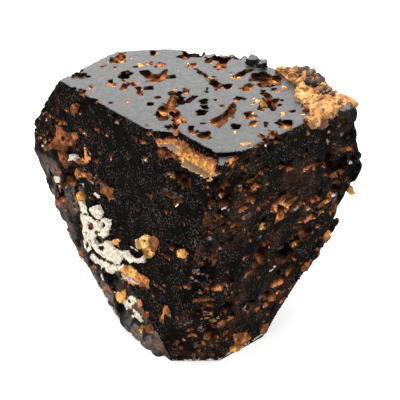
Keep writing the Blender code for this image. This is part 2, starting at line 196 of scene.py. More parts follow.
# %% Pits on the front faces
SIDE_TROUGHS = (
    ("front_left", 160, 190, 182, 199, 5, "brown"), ("front_left", 174, 203, 183, 199, 4, "brown"),
    ("front_left", 130, 246, 142, 252, 3, "dark"), ("front_left", 84, 145, 91, 157, 4, "amber"),
    ("front_left", 91, 157, 77, 162, 4, "brown"), ("front_right", 240, 174, 247, 186, 6, "brown"),
    ("front_right", 328, 152, 355, 148, 4, "amber"), ("front_right", 289, 249, 294, 262, 5, "amber"),
    ("front_right", 294, 262, 286, 275, 6, "amber"), ("front_ridge", 194, 301, 214, 299, 4, "brown"),
    ("front_left", 119, 277, 146, 286, 8, "amber"),
)
SIDE_PITS = {
    "front_left": (
        (116, 119, 4, 7, "brown"), (124, 125, 3, 4, "dark"), (82, 131, 8, 4, "amber"), (96, 129, 5, 5, "amber"),
        (105, 134, 5, 3, "brown"), (109, 192, 8, 10, "amber"), (99, 181, 9, 4, "amber"), (94, 200, 9, 4, "amber"),
        (115, 241, 6, 8, "brown"), (165, 256, 9, 4, "brown"), (170, 246, 5, 5, "brown"), (159, 288, 10, 4, "brown"),
        (179, 287, 5, 4, "brown"), (187, 288, 6, 5, "amber"), (166, 311, 8, 8, "brown"), (161, 317, 4, 8, "amber"),
        (77, 148, 5, 4, "amber"), (96, 160, 4, 5, "brown"), (85, 175, 14, 5, "brown"), (77, 171, 7, 7, "brown"),
        (183, 178, 13, 13, "brown"), (167, 154, 20, 6, "brown"), (171, 146, 15, 8, "gold"), (170, 175, 6, 6, "amber"),
        (151, 134, 8, 5, "amber"), (144, 142, 8, 7, "amber"), (181, 253, 10, 10, "amber"), (154, 241, 6, 7, "brown"),
    ),
    "left": (
        (74, 107, 8, 4, "amber"), (73, 113, 5, 6, "brown"), (65, 111, 4, 6, "amber"), (61, 122, 9, 7, "amber"),
        (73, 122, 5, 3, "amber"), (45, 111, 4, 5, "brown"), (58, 130, 8, 8, "brown"),
        (68, 141, 9, 8, "amber"), (52, 140, 6, 8, "brown"), (66, 155, 6, 5, "brown"),
    ),
    "low_left": (
        (113, 285, 4, 8, "dark"), (126, 285, 4, 6, "dark"), (91, 225, 6, 7, "dark"), (102, 225, 6, 7, "dark"),
        (98, 241, 6, 8, "dark"), (79, 195, 8, 12, "amber"), (64, 199, 5, 6, "brown"), (70, 180, 8, 9, "brown"),
        (112, 262, 6, 6, "dark"), (130, 318, 5, 6, "brown"),
    ),
    "front_ridge": (
        (205, 194, 6, 6, "brown"), (212, 203, 7, 8, "brown"), (212, 229, 9, 9, "brown"), (214, 257, 6, 14, "brown"),
        (202, 309, 6, 6, "amber"), (209, 334, 8, 12, "brown"), (201, 343, 12, 5, "brown"), (204, 271, 5, 6, "dark"),
        (192, 316, 5, 5, "dark"), (189, 330, 6, 4, "brown"),
    ),
    "front_right": (
        (256, 146, 3, 4, "amber"), (260, 143, 4, 5, "brown"), (277, 142, 5, 4, "amber"), (258, 158, 3, 5, "dark"),
        (247, 164, 5, 9, "brown"), (243, 167, 4, 5, "amber"), (261, 172, 7, 5, "brown"), (248, 182, 8, 5, "gold"),
        (240, 187, 7, 5, "brown"), (255, 187, 9, 8, "brown"), (219, 172, 6, 6, "brown"), (289, 167, 4, 10, "brown"),
        (310, 167, 12, 5, "amber"), (226, 182, 7, 7, "amber"), (234, 160, 9, 8, "amber"), (252, 199, 8, 11, "amber"),
        (265, 202, 10, 7, "brown"), (282, 203, 19, 14, "amber"), (303, 202, 14, 7, "brown"), (325, 202, 9, 4, "amber"),
        (327, 160, 5, 13, "brown"), (337, 165, 17, 11, "dark"), (337, 173, 10, 4, "amber"), (337, 182, 6, 5, "amber"),
        (334, 193, 8, 7, "brown"), (336, 205, 9, 12, "brown"), (316, 198, 8, 9, "brown"), (301, 221, 9, 11, "gold"),
        (281, 214, 8, 11, "amber"), (311, 217, 8, 6, "brown"), (309, 207, 6, 8, "brown"), (299, 235, 13, 9, "brown"),
        (291, 245, 13, 4, "gold"), (267, 242, 7, 7, "brown"), (279, 259, 13, 15, "dark"), (259, 257, 12, 14, "brown"),
        (249, 273, 8, 5, "brown"), (278, 283, 12, 7, "brown"), (263, 225, 4, 7, "gold"), (348, 136, 5, 4, "dark"),
        (217, 216, 6, 9, "brown"), (225, 204, 7, 8, "brown"), (225, 222, 7, 13, "brown"), (237, 225, 11, 9, "brown"),
        (244, 209, 9, 7, "brown"), (245, 218, 8, 4, "amber"), (220, 247, 5, 6, "brown"), (230, 282, 4, 6, "brown"),
        (218, 288, 9, 7, "amber"), (229, 299, 5, 11, "brown"), (222, 313, 11, 7, "dark"), (222, 323, 7, 7, "amber"),
        (231, 318, 6, 5, "brown"), (273, 297, 9, 9, "amber"), (264, 297, 7, 6, "brown"), (250, 306, 6, 8, "brown"),
        (262, 307, 13, 5, "brown"), (240, 338, 11, 8, "brown"), (236, 348, 11, 6, "amber"), (342, 121, 6, 5, "brown"),
    ),
}
print("front pits:", sum(map(len, SIDE_PITS.values())) + len(SIDE_TROUGHS))

# %% [markdown]
# ## One field for the whole body
# Pits cut through edges and run into each other, which is awkward to model with faces alone. A
# distance field solves it: every point of a fine grid stores how far it is outside the crystal,
# a flat face is one subtraction, and cutting a pit is one maximum.

# %% The grid
STEP = 0.135
LOW = np.array([-22.4, -21.0, -0.6])
HIGH = np.array([20.6, 16.4, 33.6])
COUNTS = np.ceil((HIGH - LOW) / STEP).astype(int) + 1
TICKS = [(low + STEP * np.arange(count)).astype(np.float32) for low, count in zip(LOW, COUNTS)]
print("grid:", COUNTS, "points:", int(np.prod(COUNTS)))


def spline_weights(ticks, period, shift):
    """How much each lattice value counts at each tick, as a cubic B-spline."""
    place = (ticks - ticks[0]) / period + shift
    cell = np.floor(place).astype(int)
    part = place - cell
    weights = np.zeros((len(ticks), cell.max() + 4), np.float32)
    rows = np.arange(len(ticks))
    weights[rows, cell] = (1 - part) ** 3 / 6
    weights[rows, cell + 1] = (3 * part**3 - 6 * part**2 + 4) / 6
    weights[rows, cell + 2] = (-3 * part**3 + 3 * part**2 + 3 * part + 1) / 6
    weights[rows, cell + 3] = part**3 / 6
    return weights


def soft_noise(period, seed):
    """Smooth noise of about -1 to 1 over the whole grid, with bumps about one period across."""
    rng = np.random.default_rng(seed)
    weights = [spline_weights(ticks, period, rng.random()) for ticks in TICKS]
    lattice = rng.uniform(-1, 1, [w.shape[1] for w in weights]).astype(np.float32)
    for w in weights:
        lattice = np.tensordot(lattice, w, axes=(0, 1))
    return lattice * 2.4


def terraced(noise, levels, softness=0.25):
    """Noise cut into flat levels with short slopes between them."""
    scaled = noise * levels
    base = np.floor(scaled)
    ramp = np.clip((scaled - base - 1 + softness) / softness, 0, 1)
    return (base + ramp) / levels


# %% The plain crystal
broad = soft_noise(3.4, SEED)
middling = soft_noise(1.25, SEED + 1)
fine = soft_noise(0.5, SEED + 2)
tiny = soft_noise(0.29, SEED + 4)
rough = 0.45 * terraced(broad, 3.0) + 0.4 * terraced(middling, 2.0) + 0.3 * fine
grid = np.meshgrid(*TICKS, indexing="ij", sparse=True)
field = np.full(tuple(COUNTS), -100.0, np.float32)
for face, (heading, tilt, distance, relief) in FACES.items():
    out = AXES[face][3]
    plane = (grid[0] * out[0] + grid[1] * out[1] + grid[2] * out[2] - distance).astype(np.float32)
    if relief:
        plane += np.float32(relief) * rough
    np.maximum(field, plane, out=field)
print("plain crystal, mm3:", round(float((field < 0).sum()) * STEP**3))

# %% [markdown]
# ## Cutting the pits
# A pit is a short prism with slanting walls. Its mouth is a box with its corners cut along the
# crystal's two front directions, so neighbouring pits share wall directions as the real ones do.
# Some of the noise is added to it, because no real mouth is a perfect box. Each grid point also
# remembers which shape set it, and the colours are taken from that later.

# %% A gentle step
def smooth(low, high, value):
    """Rises from 0 to 1 between two values, gently at both ends."""
    share = np.clip((value - low) / (high - low), 0, 1)
    return share * share * (3 - 2 * share)


# %% Body
class Body:
    """A distance field, and for each grid point the number of the shape that set it."""

    def __init__(self, field):
        self.field = field
        self.owner = np.full(field.shape, -1, np.int16)
        self.shapes = []

    def note(self, place, wins, face, kind, middle=0.0, half=1e6):
        number = len(self.shapes) if kind else -1
        self.owner[place] = np.where(wins, number, self.owner[place])
        self.shapes.append((face, kind or "none", rng.uniform(0.6, 1.25), rng.random(), middle, half))

    def cut(self, place, shape, face, kind, middle=0.0, half=1e6):
        wins = -shape > self.field[place]
        self.field[place] = np.where(wins, -shape, self.field[place])
        self.note(place, wins, face, kind, middle, half)

    def add(self, place, shape, face, kind, softness=0.01):
        old = self.field[place].copy()
        blend = np.clip(0.5 + 0.5 * (old - shape) / softness, 0, 1)
        self.field[place] = old * (1 - blend) + shape * blend - softness * blend * (1 - blend)
        self.note(place, shape < old, face, kind)


rng = np.random.default_rng(SEED + 3)
body = Body(field.copy())
print("grid memory, MB:", round((body.field.nbytes + body.owner.nbytes) / 1e6))

# %% Pit cutter
EDGE_TURN = math.radians(-48.0)


def window(centre, reach):
    """The slices of the grid within reach of a point, and its points relative to the centre."""
    first = np.clip(((centre - reach - LOW) / STEP).astype(int), 0, COUNTS)
    last = np.clip(((centre + reach - LOW) / STEP).astype(int) + 2, 0, COUNTS)
    place = tuple(slice(a, b) for a, b in zip(first, last))
    return place, [TICKS[k][place[k]] - centre[k] for k in range(3)]


def along(offsets, direction):
    """How far each point of a window lies along a direction."""
    x, y, z = offsets
    return x[:, None, None] * direction[0] + y[None, :, None] * direction[1] + z[None, None, :] * direction[2]


def face_window(face, middle, reach):
    """A window round a spot on a face, with each point's distance across, up and out from it."""
    origin, across, up, out = AXES[face]
    place, offsets = window(origin + across * middle[0] + up * middle[1], reach)
    return place, along(offsets, across), along(offsets, up), along(offsets, out)


def prism(across, up, length, width, heading, corner=None):
    """Signed distance in the plane of a face to a box with its corners cut."""
    turn = math.radians(heading)
    run = across * math.cos(turn) + up * math.sin(turn)
    rise = up * math.cos(turn) - across * math.sin(turn)
    turned = run * math.cos(EDGE_TURN) + rise * math.sin(EDGE_TURN)
    crossed = rise * math.cos(EDGE_TURN) - run * math.sin(EDGE_TURN)
    sides = np.maximum(np.abs(run) - length / 2, np.abs(rise) - width / 2)
    corners = np.maximum(np.abs(turned), np.abs(crossed)) - (corner or 0.36 * (length + width))
    return np.maximum(sides, corners)


def add_cut(face, middle, length, width, depth, heading, kind, slant=0.4, corner=None, ragged=1.0):
    """Takes a pit out of the body."""
    place, across, up, out = face_window(face, middle, 0.6 * math.hypot(length, width) + depth + 0.4)
    rising = 0 if face == "terrace" else 0.7 * np.minimum(out, 0)
    mouth = prism(across, up + rising, length, width, heading, corner) + slant * np.maximum(-out, 0)
    jag = ragged * min(0.35 * min(length, width), 0.26 if face == "terrace" else 0.18)
    shape = np.maximum(mouth, -out - depth) + jag * (0.8 * middling[place] + fine[place])
    turn = math.radians(heading)
    body.cut(place, shape, face, kind, middle[1], (abs(length * math.sin(turn)) + abs(width * math.cos(turn))) / 2)


def outline_distance(u, v, outline):
    """Signed distance from points on a face to an outline, negative inside."""
    nearest = np.full(u.shape, 1e9, np.float32)
    inside = np.zeros(u.shape, bool)
    for (x0, y0), (x1, y1) in zip(outline, np.roll(outline, -1, axis=0)):
        dx, dy = x1 - x0, y1 - y0
        share = np.clip(((u - x0) * dx + (v - y0) * dy) / (dx * dx + dy * dy), 0, 1)
        nearest = np.minimum(nearest, np.hypot(u - x0 - share * dx, v - y0 - share * dy))
        if dy:
            inside ^= ((y0 > v) != (y1 > v)) & (u < x0 + (v - y0) * dx / dy)
    return np.where(inside, -nearest, nearest)


def add_hollow(face, kind, depth, slant, pixels, ragged=1.0):
    """Takes a hollow out of the body inside an outline given in pixels."""
    outline = np.array([on_face(face, x, y) for x, y in pixels])
    middle = outline.mean(0)
    half = np.abs(outline - middle).max(0)
    place, u, v, out = face_window(face, middle, half.max() * 1.5 + 1.5)
    edge = outline_distance(u + middle[0], v + middle[1], outline) + slant * np.maximum(-out, 0)
    noise = ragged * (0.1 * middling[place] + 0.05 * fine[place])
    body.cut(place, np.maximum(edge, -out - depth) + noise, face, kind, middle[1], half[1])


# %% Cut the listed pits
DEPTH_SHARE = {"dark": 0.42, "brown": 0.27, "amber": 0.2, "gold": 0.16}


def mouth_on(face, x, y, wide, tall):
    """A mouth given in pixels, as its middle and its size across and up the face."""
    middle = on_face(face, x, y)
    side = on_face(face, x + wide / 2, y) - on_face(face, x - wide / 2, y)
    rise = on_face(face, x, y - tall / 2) - on_face(face, x, y + tall / 2)
    return middle, abs(side[0]), abs(rise[1])


def listed_pit(face, x, y, wide, tall, kind):
    """The pit itself, and one or two smaller steps at its rim."""
    middle, length, width = mouth_on(face, x, y, wide, tall)
    small = 0.62 * width if face == "terrace" else min(length, width) + 0.4
    depth = min(0.12 + DEPTH_SHARE[kind] * small, 1.1) * rng.uniform(0.85, 1.15)
    heading = rng.uniform(-14, 14)
    add_cut(face, middle, length * 1.02, width * 1.05, depth, heading, kind)
    for _ in range(rng.integers(1, 3)):
        turn = rng.uniform(0, 2 * math.pi)
        spot = middle + 0.5 * np.array([length * math.cos(turn), width * math.sin(turn)])
        part = rng.uniform(0.4, 0.7, 2)
        add_cut(face, spot, length * part[0], width * part[1], depth * 0.6, heading + 45, kind)


def trough(face, x0, y0, x1, y1, width, kind):
    """A long narrow pit between two points."""
    start, end = on_face(face, x0, y0), on_face(face, x1, y1)
    heading = math.degrees(math.atan2(*(end - start)[::-1]))
    wide = width * 0.15
    add_cut(face, (start + end) / 2, np.linalg.norm(end - start) + 0.2, wide, 0.2 + 0.25 * wide, heading, kind)


for pit in TERRACE_PITS:
    listed_pit("terrace", *pit)
for pit in TERRACE_TROUGHS:
    trough("terrace", *pit)
for kind, depth, pixels in TERRACE_HOLLOWS:
    add_hollow("terrace", kind, depth, 0.4, pixels)
for face, pits in SIDE_PITS.items():
    for pit in pits:
        listed_pit(face, *pit)
for pit in SIDE_TROUGHS:
    trough(*pit)
print("cuts so far:", len(body.shapes))

# %% The broken front corner
CORNER_STEPS = (
    (1.9, 0.6, ((177, 130), (216, 152), (221, 152), (221, 190), (172, 190), (172, 140))),
    (1.2, 0.7, ((150, 130), (161, 131), (177, 130), (192, 142), (192, 190), (140, 190))),
    (0.5, 0.2, ((214, 152), (240, 152), (247, 150), (247, 175), (214, 175))),
)


for depth, slant, pixels in CORNER_STEPS:
    add_hollow("terrace", "step", depth, slant, pixels)

# %% Small pits everywhere
SMALL_PITS = {
    "terrace": 60, "front_left": 40, "front_right": 110, "front_ridge": 70, "left": 24,
    "low_left": 60, "back_left_top": 24, "back_left": 24, "back_top_left": 90,
    "back_top_right": 50, "back_right": 30, "right_waist": 60, "right_foot": 16,
    "left_waist": 40, "left_foot": 12, "back_low": 70,
}


def inside_others(face, point, margin):
    """True if a point on a face is at least a margin inside every other face."""
    return all(point @ AXES[f][3] < FACES[f][2] - margin for f in FACES if f != face)


def scatter(face, number, margin):
    """Random points on a face, as (across, up)."""
    origin, across, up, out = AXES[face]
    found = []
    while len(found) < number:
        spot = rng.uniform((-40, -34), (34, 34))
        if inside_others(face, origin + across * spot[0] + up * spot[1], margin):
            found.append(spot)
    return found


for face, number in SMALL_PITS.items():
    big = 1.0 if face in ("terrace", "front_left", "front_right", "front_ridge", "left") else 1.7
    for spot in scatter(face, number, 0.1):
        size = rng.uniform(0.25, 0.6) * rng.uniform(1.0, big)
        kind = rng.choice(["dark", "brown", "brown", "brown", "amber", "amber", "gold"])
        add_cut(face, spot, size * rng.uniform(1, 2), size, size * 0.5, rng.uniform(0, 180), kind)
print("cuts in all:", len(body.shapes))

# %% [markdown]
# ## Film, stains and lumps
# A cream film coats the lower left face, ochre stains lie on the rough left face, and a few
# amber lumps sit on the front. Each is a domed layer inside an outline drawn on its face, so it
# follows the relief below it and has a real edge that catches light. Holes are listed by place
# and size, as the pits are.

# %% Patches
# Small pale patches in the rim colour are painted highlights; the other patches are films, stains and lumps.
PATCHES = (
    ("low_left", "cream", 0.1, ((78, 201), (81, 200), (86, 207), (88, 213), (84, 214), (81, 210)), ()),
    ("low_left", "cream", 0.12, ((88, 208), (98, 207), (101, 213), (99, 219), (94, 216), (90, 212)), ((92, 209, 2, 2),)),
    ("low_left", "cream", 0.12, ((82, 215), (88, 215), (93, 219), (100, 223), (102, 219), (108, 221), (109, 227),
        (107, 231), (108, 235), (104, 239), (101, 236), (96, 236), (93, 239), (85, 239), (83, 232), (84, 225)),
        ((91, 226, 6, 8), (103, 225, 5, 8), (98, 232, 6, 3), (94, 221, 3, 2), (87, 233, 2, 3))),
    ("low_left", "cream", 0.13, ((93, 239), (97, 244), (102, 244), (106, 241), (111, 244), (114, 248), (120, 253),
        (121, 259), (119, 264), (110, 261), (103, 256), (96, 251), (93, 246)), ((102, 248, 6, 5), (98, 241, 6, 4))),
    ("low_left", "cream", 0.1, ((93, 255), (99, 258), (108, 263), (117, 266), (123, 265), (122, 270), (114, 272),
        (108, 272), (105, 276), (103, 281), (101, 276), (103, 270), (101, 265), (96, 261)), ((105, 268, 2, 3),)),
    ("low_left", "cream", 0.1, ((84, 240), (88, 238), (92, 242), (92, 249), (88, 252), (84, 248)), ((88, 245, 4, 7),)),
    ("low_left", "lip", 0.06, ((92, 252), (97, 256), (96, 262), (91, 258)), ()),
    ("low_left", "cream", 0.14, ((121, 252), (126, 252), (131, 258), (135, 260), (139, 259), (142, 258), (143, 262),
        (139, 264), (137, 262), (131, 264), (126, 260)), ((124, 255, 2, 2),)),
    ("low_left", "cream", 0.12, ((129, 296), (136, 297), (137, 303), (132, 306), (128, 310), (124, 302)), ((130, 301, 2, 3),)),
    ("low_left", "cream", 0.12, ((133, 308), (139, 312), (142, 320), (139, 328), (135, 333), (132, 327), (131, 317)),
        ((137, 328, 3, 5), (134, 314, 2, 3))),
    ("low_left", "cream", 0.12, ((54, 177), (58, 175), (61, 179), (60, 182), (56, 182)), ()),
    ("front_left", "lip", 0.1, ((80, 181), (82, 182), (85, 185), (83, 186)), ()),
    ("front_left", "lip", 0.1, ((94, 194), (97, 193), (101, 197), (98, 198)), ()),
    ("front_left", "lip", 0.1, ((119, 272), (128, 277), (141, 284), (139, 286), (127, 280)), ()),
    ("front_left", "lip", 0.1, ((135, 240), (138, 239), (139, 246), (137, 247)), ()),
    ("left", "brown", 0.1, ((56, 125), (61, 128), (64, 133), (68, 134), (74, 133), (75, 138), (72, 146), (67, 145),
        (64, 152), (60, 149), (54, 148), (46, 151), (44, 148), (52, 143), (56, 136)),
        ((63, 138, 4, 5), (68, 140, 3, 4), (59, 145, 3, 2))),
    ("left", "brown", 0.12, ((72, 104), (77, 106), (75, 112), (72, 116), (70, 109)), ()),
    ("left", "brown", 0.12, ((58, 152), (66, 155), (70, 162), (66, 168), (60, 160)), ((64, 159, 3, 3),)),
    ("left", "lip", 0.1, ((70, 154), (76, 156), (75, 160), (70, 159)), ()),
    ("front_left", "amber", 0.12, ((82, 145), (86, 146), (88, 155), (91, 158), (89, 163), (83, 164), (76, 162),
        (79, 159), (84, 157), (84, 150)), ()),
    ("front_left", "amber", 0.12, ((76, 168), (80, 172), (86, 173), (92, 174), (90, 178), (82, 177), (77, 179),
        (74, 173)), ()),
    ("front_left", "amber", 0.14, ((103, 186), (113, 189), (111, 199), (107, 194), (100, 192)), ()),
    ("low_left", "gold", 0.35, ((77, 193), (81, 193), (84, 198), (82, 202), (78, 199)), ()),
    ("front_left", "straw", 0.6, ((136, 242), (142, 236), (149, 235), (151, 241), (149, 246), (145, 248), (139, 248)),
        ((146, 240, 3, 2),)),
    ("front_left", "gold", 0.5, ((145, 249), (150, 246), (155, 249), (155, 254), (150, 258), (145, 254)),
        ((150, 251, 3, 3),)),
    ("front_left", "brown", 0.5, ((149, 235), (155, 236), (159, 241), (158, 247), (155, 252), (152, 247)), ()),
    ("front_left", "gold", 0.45, ((178, 250), (181, 249), (188, 253), (184, 258), (178, 257)), ()),
    ("front_left", "gold", 0.3, ((113, 240), (117, 238), (121, 240), (119, 244), (114, 245)), ()),
    ("front_left", "gold", 0.3, ((122, 266), (130, 265), (138, 271), (135, 279), (128, 276), (121, 271)), ()),
    ("front_left", "amber", 0.3, ((137, 271), (144, 275), (149, 279), (149, 288), (141, 284), (134, 280)), ()),
    ("low_left", "gold", 0.5, ((118, 292), (126, 290), (127, 297), (123, 304), (117, 300)), ()),
    ("low_left", "amber", 0.35, ((107, 275), (111, 278), (113, 286), (109, 288)), ()),
    ("front_left", "amber", 0.3, ((137, 298), (141, 299), (143, 305), (139, 309)), ()),
    ("front_left", "amber", 0.25, ((142, 313), (148, 312), (149, 316), (143, 318)), ()),
    ("front_left", "amber", 0.3, ((146, 326), (152, 325), (154, 332), (148, 334)), ()),
    ("front_left", "gold", 0.3, ((139, 328), (144, 327), (146, 333), (141, 335)), ()),
    ("front_left", "amber", 0.2, ((164, 306), (168, 305), (170, 311), (165, 315), (162, 322), (159, 321), (163, 313)), ()),
    ("front_right", "gold", 0.5, ((349, 187), (352, 186), (354, 191), (351, 195), (348, 193)), ()),
    ("front_right", "amber", 0.4, ((325, 232), (329, 229), (330, 236), (325, 242), (322, 240)), ()),
    ("front_right", "amber", 0.4, ((315, 248), (319, 246), (319, 255), (314, 259)), ()),
    ("front_right", "gold", 0.2, ((230, 347), (238, 345), (243, 348), (238, 352), (231, 352)), ()),
    ("front_right", "amber", 0.15, ((233, 334), (246, 333), (251, 338), (244, 344), (236, 344)), ()),
    ("terrace", "gold", 0.08, ((254, 99), (258, 98), (260, 101), (255, 104)), ()),
    ("terrace", "gold", 0.1, ((261, 101), (265, 103), (266, 106), (262, 106)), ()),
    ("terrace", "gold", 0.1, ((280, 113), (284, 112), (285, 116), (281, 117)), ()),
    ("terrace", "gold", 0.12, ((282, 86), (286, 86), (287, 90), (283, 91)), ()),
    ("terrace", "gold", 0.08, ((234, 130), (237, 131), (236, 134), (233, 133)), ()),
    ("terrace", "gold", 0.08, ((237, 77), (241, 77), (240, 80), (237, 80)), ()),
)


def ring(x, y, wide, tall):
    """Eight pixels round an oval."""
    turns = np.arange(8) * math.pi / 4
    return [(x + wide / 2 * math.cos(t), y + tall / 2 * math.sin(t)) for t in turns]


def add_patch(face, kind, thickness, pixels, holes):
    """Lays a domed layer on a face inside an outline given in pixels."""
    outline = np.array([on_face(face, x, y) for x, y in pixels])
    middle = outline.mean(0)
    place, u, v, out = face_window(face, middle, np.abs(outline - middle).max() * 1.45 + 1)
    edge = outline_distance(u + middle[0], v + middle[1], outline)
    for hole in holes:
        gap = np.array([on_face(face, x, y) for x, y in ring(*hole)])
        edge = np.maximum(edge, -outline_distance(u + middle[0], v + middle[1], gap))
    edge = edge + 0.1 * middling[place] + 0.14 * fine[place] + 0.1 * tiny[place]
    height = out + FACES[face][3] * rough[place]
    top = thickness * (0.3 + 0.7 * np.sqrt(np.clip(-edge / (0.15 + thickness), 0, 1)))
    top = top + min(0.06, 0.4 * thickness) * fine[place]
    body.add(place, np.maximum(np.maximum(edge, height - top), -height - 0.4), face, kind)


FIRST_PATCH = len(body.shapes)
for patch in PATCHES:
    add_patch(*patch)
print("patches:", len(PATCHES))

# %% [markdown]
# ## Dark blocks on the rim
# Small blocks of the same black stone stand on the back right edge and break the outline. The
# ochre crust grows round them in a later cell.

# %% Blocks
BLOCKS = ((253, 59, 10, 4, 0.6, 14), (263, 62, 9, 4, 0.6, -12), (345, 107, 11, 6, 0.3, -20))
PIXELS_UP = 7.0


def add_block(x, y, wide, tall, top, heading):
    """An angular block on the terrace whose top is seen at a pixel."""
    middle, length, width = mouth_on("terrace", x, y + PIXELS_UP * top, wide, tall)
    place, across, up, out = face_window("terrace", middle, 0.6 * math.hypot(length, width) + 2.2)
    sides = prism(across, up, length, width, heading, 0.33 * (length + width))
    lean = 0.2 * across + 0.15 * up
    shape = np.maximum(np.maximum(sides + 0.3 * (out - 0.5 * top), out - top - lean), -out - 1.2)
    body.add(place, shape + 0.4 * middling[place] + 0.25 * fine[place], "terrace", "block", 0.1)


for block in BLOCKS:
    add_block(*block)

FOOT_LUMPS = (
    ("low_left", -20.6, -26.3, 1.5, 0.9), ("low_left", -18.6, -27.6, 1.6, 1.1), ("low_left", -16.4, -27.9, 1.6, 1.2),
    ("low_left", -14.2, -28.2, 1.5, 1.2), ("low_left", -12.4, -28.4, 1.3, 1.0), ("low_left", -22.6, -23.0, 1.3, 0.6),
    ("right_waist", 14.0, 0.4, 1.1, 0.6), ("right_waist", 13.8, -6.9, 1.1, 0.5), ("back_right", 5.4, -10.9, 1.4, 0.7),
    ("back_right", 12.9, -14.2, 1.5, 0.7),
)
EDGE_LUMPS = {
    "front_right": ((355, 146), (358, 156), (358, 168), (353, 179), (351, 200), (344, 210), (337, 220), (329, 230),
        (320, 243), (313, 254), (305, 266), (296, 279), (286, 295), (275, 311), (264, 328)),
    "low_left": ((48, 178), (54, 190), (58, 204), (63, 216), (68, 229), (75, 241), (82, 253), (90, 265), (98, 277),
        (105, 289), (112, 301), (121, 313), (128, 325)),
}


def add_lump(face, middle, radius, height, kind):
    """A low rounded lump on a face."""
    place, u, v, out = face_window(face, middle, radius + 0.6)
    shape = (np.sqrt((u / radius) ** 2 + (v / radius) ** 2 + (out / height) ** 2) - 1) * height
    body.add(place, shape + 0.2 * middling[place] + 0.12 * fine[place], face, kind, 0.2)


for face, across, up, radius, height in FOOT_LUMPS:
    add_lump(face, (across, up), radius, height, None)
for face, pixels in EDGE_LUMPS.items():
    for x, y in pixels:
        kind = rng.choice(["brown", "none", "none", "none"])
        add_lump(face, on_face(face, x, y), rng.uniform(0.3, 0.65), rng.uniform(0.2, 0.35), None if kind == "none" else kind)

# The pale lines along the bottom edges paint the white floor's reflection; the amber line is mineral.
RIM_LINES = (
    ("front_left", "lip", 0.1, ((143, 344), (150, 352), (158, 357), (166, 359))),
    ("front_ridge", "lip", 0.1, ((166, 359), (178, 360), (190, 360), (206, 360), (220, 359))),
    ("front_right", "lip", 0.1, ((220, 359), (226, 355), (232, 351), (240, 348), (248, 343), (256, 338), (263, 333))),
    ("low_left", "lip", 0.1, ((60, 217), (68, 232), (76, 247), (86, 264), (97, 282), (108, 300), (120, 318), (131, 336))),
    ("front_right", "amber", 0.12, ((327, 234), (320, 244), (313, 255), (305, 267), (297, 279), (289, 290), (280, 303))),
)


def add_rim_line(face, kind, radius, pixels):
    """A thin broken line along an edge, of mineral or of painted reflection."""
    points = [seen_on(face, x, y) for x, y in pixels]
    for start, end in zip(points, points[1:]):
        half = np.linalg.norm(end - start) / 2
        place, offsets = window((start + end) / 2, half + 0.6)
        run = along(offsets, (end - start) / (2 * half))
        squares = along([o ** 2 for o in offsets], (1, 1, 1)) - run ** 2 + np.maximum(np.abs(run) - half, 0) ** 2
        shape = np.sqrt(np.maximum(squares, 0)) - radius + 0.16 * middling[place] + 0.12 * fine[place]
        body.add(place, shape, face, kind)


for line in RIM_LINES:
    add_rim_line(*line)
body.field = np.maximum(body.field, -TICKS[2][None, None, :])
print("blocks, lumps and rim lines:", len(BLOCKS) + len(FOOT_LUMPS) + len(RIM_LINES))

# %% [markdown]
# ## The ochre crust
# The crust hugs the crystal over its back right edge. Its field starts as the space within some
# height of the plain crystal, thin at the inner border and thick at the rim, and then takes in a
# few hundred blocky grains, each bounded by random planes and welded on with a soft minimum.

# %% Crust body
CRUST_BORDER = ((258, 62), (266, 60), (273, 62), (279, 71), (284, 76), (289, 81), (296, 87), (294, 97), (299, 99),
    (305, 103), (310, 112), (312, 119), (316, 124), (325, 131), (335, 127), (341, 124), (350, 119), (400, 108),
    (400, 20), (258, 20))
RIM = (on_face("terrace", 250, 57), on_face("terrace", 352, 104))
CREST = ((0.0, 0.3), (0.1, 0.8), (0.2, 1.4), (0.36, 1.5), (0.5, 1.15), (0.65, 0.9), (0.74, 0.4), (1.0, 0.3))
middle = on_face("terrace", 300, 88)
crust_place, u, v, out = face_window("terrace", middle, 14.0)
u, v = u + middle[0], v + middle[1]
length = np.linalg.norm(RIM[1] - RIM[0])
rim_x, rim_y = (RIM[1] - RIM[0]) / length
travel = ((u - RIM[0][0]) * rim_x + (v - RIM[0][1]) * rim_y) / length
past_rim = np.maximum((v - RIM[0][1]) * rim_x - (u - RIM[0][0]) * rim_y, 0)
edge = outline_distance(u, v, np.array([on_face("terrace", x, y) for x, y in CRUST_BORDER]))
crest = np.interp(travel, *np.transpose(CREST))
thick = np.minimum(0.15 + 0.6 * np.maximum(-edge, 0), crest) * np.clip(1.1 - 0.25 * past_rim, 0.25, 1)
thick = thick + 0.2 * middling[crust_place] + 0.15 * fine[crust_place]
above = field[crust_place]
ticks = [TICKS[k][crust_place[k]] for k in range(3)]
front_side = along(ticks, AXES["front_right"][3]) - FACES["front_right"][2]
wander = 0.35 * middling[crust_place] + 0.15 * fine[crust_place]
lower_end = -out - 5.6 + 1.6 * broad[crust_place]
limits = (edge, np.minimum(front_side + 0.7, -out - 0.5), lower_end, (np.abs(travel - 0.5) - 0.52) * length)
mass = np.maximum(above - thick, -above - 0.5)
for limit in limits:
    mass = np.maximum(mass, limit + wander)
print("crust grid:", mass.shape)

# %% Crust grains
crust_body = Body(np.full(tuple(COUNTS), 5.0, np.float32))
crust_body.field[crust_place] = mass


def block_grain(centre, radius, kind=None, sides=9, softness=0.12):
    """Adds a small block bounded by random planes to the crust."""
    normals = rng.normal(size=(sides, 3))
    normals /= np.linalg.norm(normals, axis=1)[:, None]
    place, offsets = window(centre, radius * 1.5 + 0.2)
    squares = along([o**2 for o in offsets], (1, 1, 1))
    shape = np.sqrt(squares) - radius * 1.25
    for normal, distance in zip(normals, radius * rng.uniform(0.6, 1.0, sides)):
        shape = np.maximum(shape, along(offsets, normal) - distance)
    kind = kind or rng.choice(["ochre", "straw", "straw", "amber", "ochre", "brown", "olive"])
    shape = (shape + 0.1 * middling[place] + 0.12 * fine[place]).astype(np.float32)
    crust_body.add(place, shape, "crust", kind, softness)


